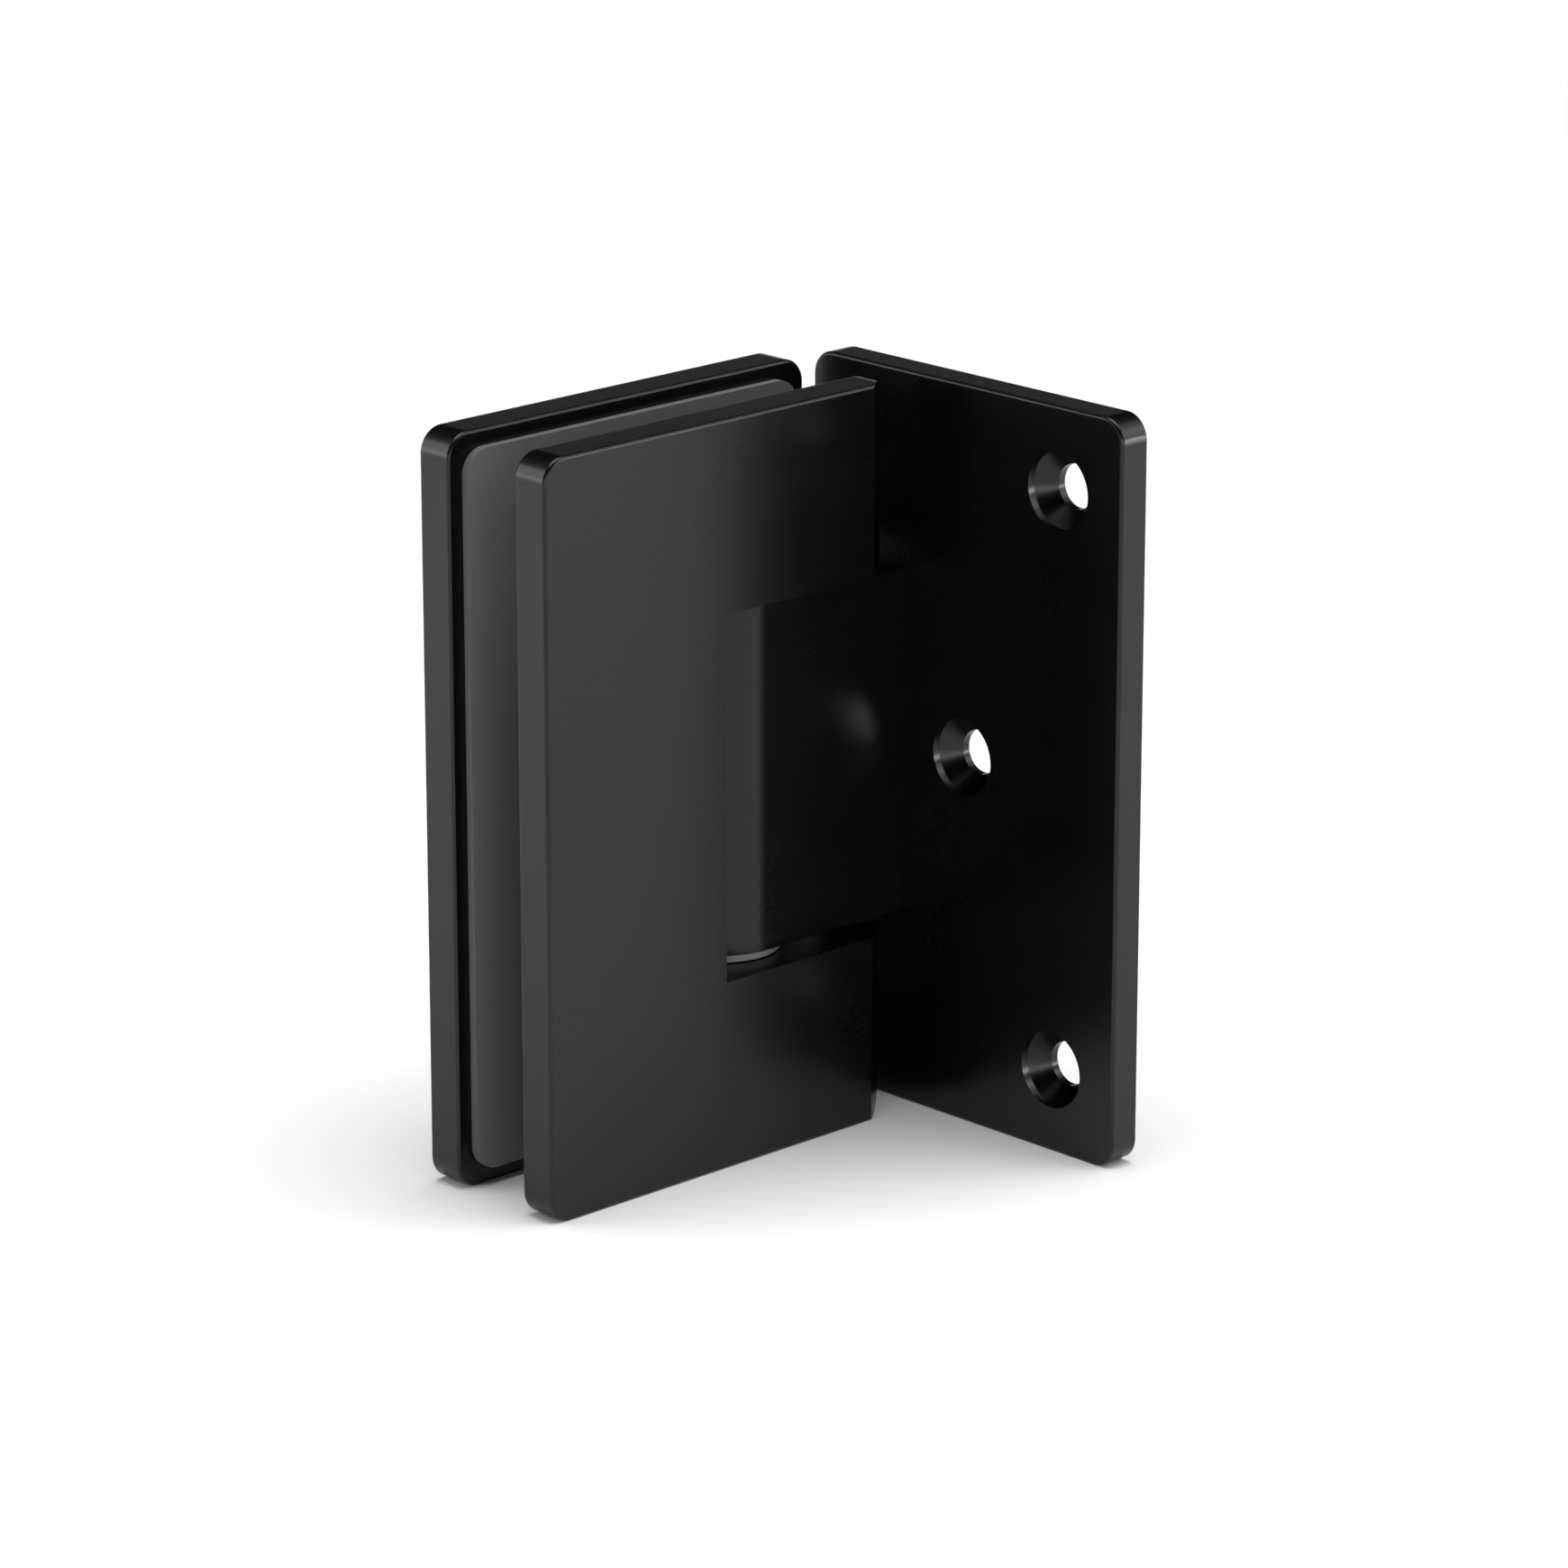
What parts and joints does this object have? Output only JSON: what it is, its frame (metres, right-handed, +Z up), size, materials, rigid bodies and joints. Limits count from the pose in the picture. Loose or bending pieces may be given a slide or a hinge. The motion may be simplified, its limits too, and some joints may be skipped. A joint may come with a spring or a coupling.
{
  "type": "glass door hinge",
  "caption": "Wall-to-glass hinge: a wall plate with a pivot block, and a two-plate clamp with gaskets that turns 90 degrees each way.",
  "frame": {"origin": "middle of the wall plate's wall-side face", "axes": "+X into the wall, +Z up along the pivot pin, +Y through the closed door away from the room"},
  "size_m": [0.0631, 0.0528, 0.09],
  "materials": {
    "black_coat": "satin black electroplated coat on brass",
    "steel": "bright stainless steel, turned",
    "screw_steel": "dark stainless steel screws",
    "bronze": "plain bearing bronze",
    "gasket": "grey clamping gasket",
    "washer_plastic": "pale grey acetal"
  },
  "bodies": {
    "wall_side": {"wall_plate": "black_coat", "pivot_block": "black_coat", "upper_block_screw": "screw_steel", "upper_bush": "bronze", "upper_washer": "washer_plastic", "upper_spring": "steel", "upper_spring_retainer": "screw_steel", "lower_block_screw": "screw_steel", "lower_bush": "bronze", "lower_washer": "washer_plastic", "lower_spring": "steel", "lower_spring_retainer": "screw_steel"},
    "leaf": {"pivot_pin": "steel", "front_clamp_plate": "black_coat", "rear_clamp_plate": "black_coat", "front_gasket": "gasket", "rear_gasket": "gasket", "upper_pin_holder": "black_coat", "upper_grub_screw": "screw_steel", "upper_inner_clamp_screw": "screw_steel", "upper_outer_clamp_screw": "screw_steel", "lower_pin_holder": "black_coat", "lower_grub_screw": "screw_steel", "lower_inner_clamp_screw": "screw_steel", "lower_outer_clamp_screw": "screw_steel"},
    "upper_plunger_body": {"upper_plunger": "steel"},
    "lower_plunger_body": {"lower_plunger": "steel"}
  },
  "joints": [
    {"name": "leaf_hinge", "type": "hinge", "parent": "wall_side", "child": "leaf", "pos_m": [-0.0266, 0.0173, 0], "axis": [0, 0, 1], "range_deg": [-90, 90]},
    {"name": "upper_plunger_slide", "type": "slide", "parent": "wall_side", "child": "upper_plunger_body", "axis": [-1, 0, 0], "range_m": [0, 0.0006], "stiffness_N_per_m": 2000, "springref_m": 0.0026},
    {"name": "lower_plunger_slide", "type": "slide", "parent": "wall_side", "child": "lower_plunger_body", "axis": [-1, 0, 0], "range_m": [0, 0.0006], "stiffness_N_per_m": 2000, "springref_m": 0.0026}
  ]
}
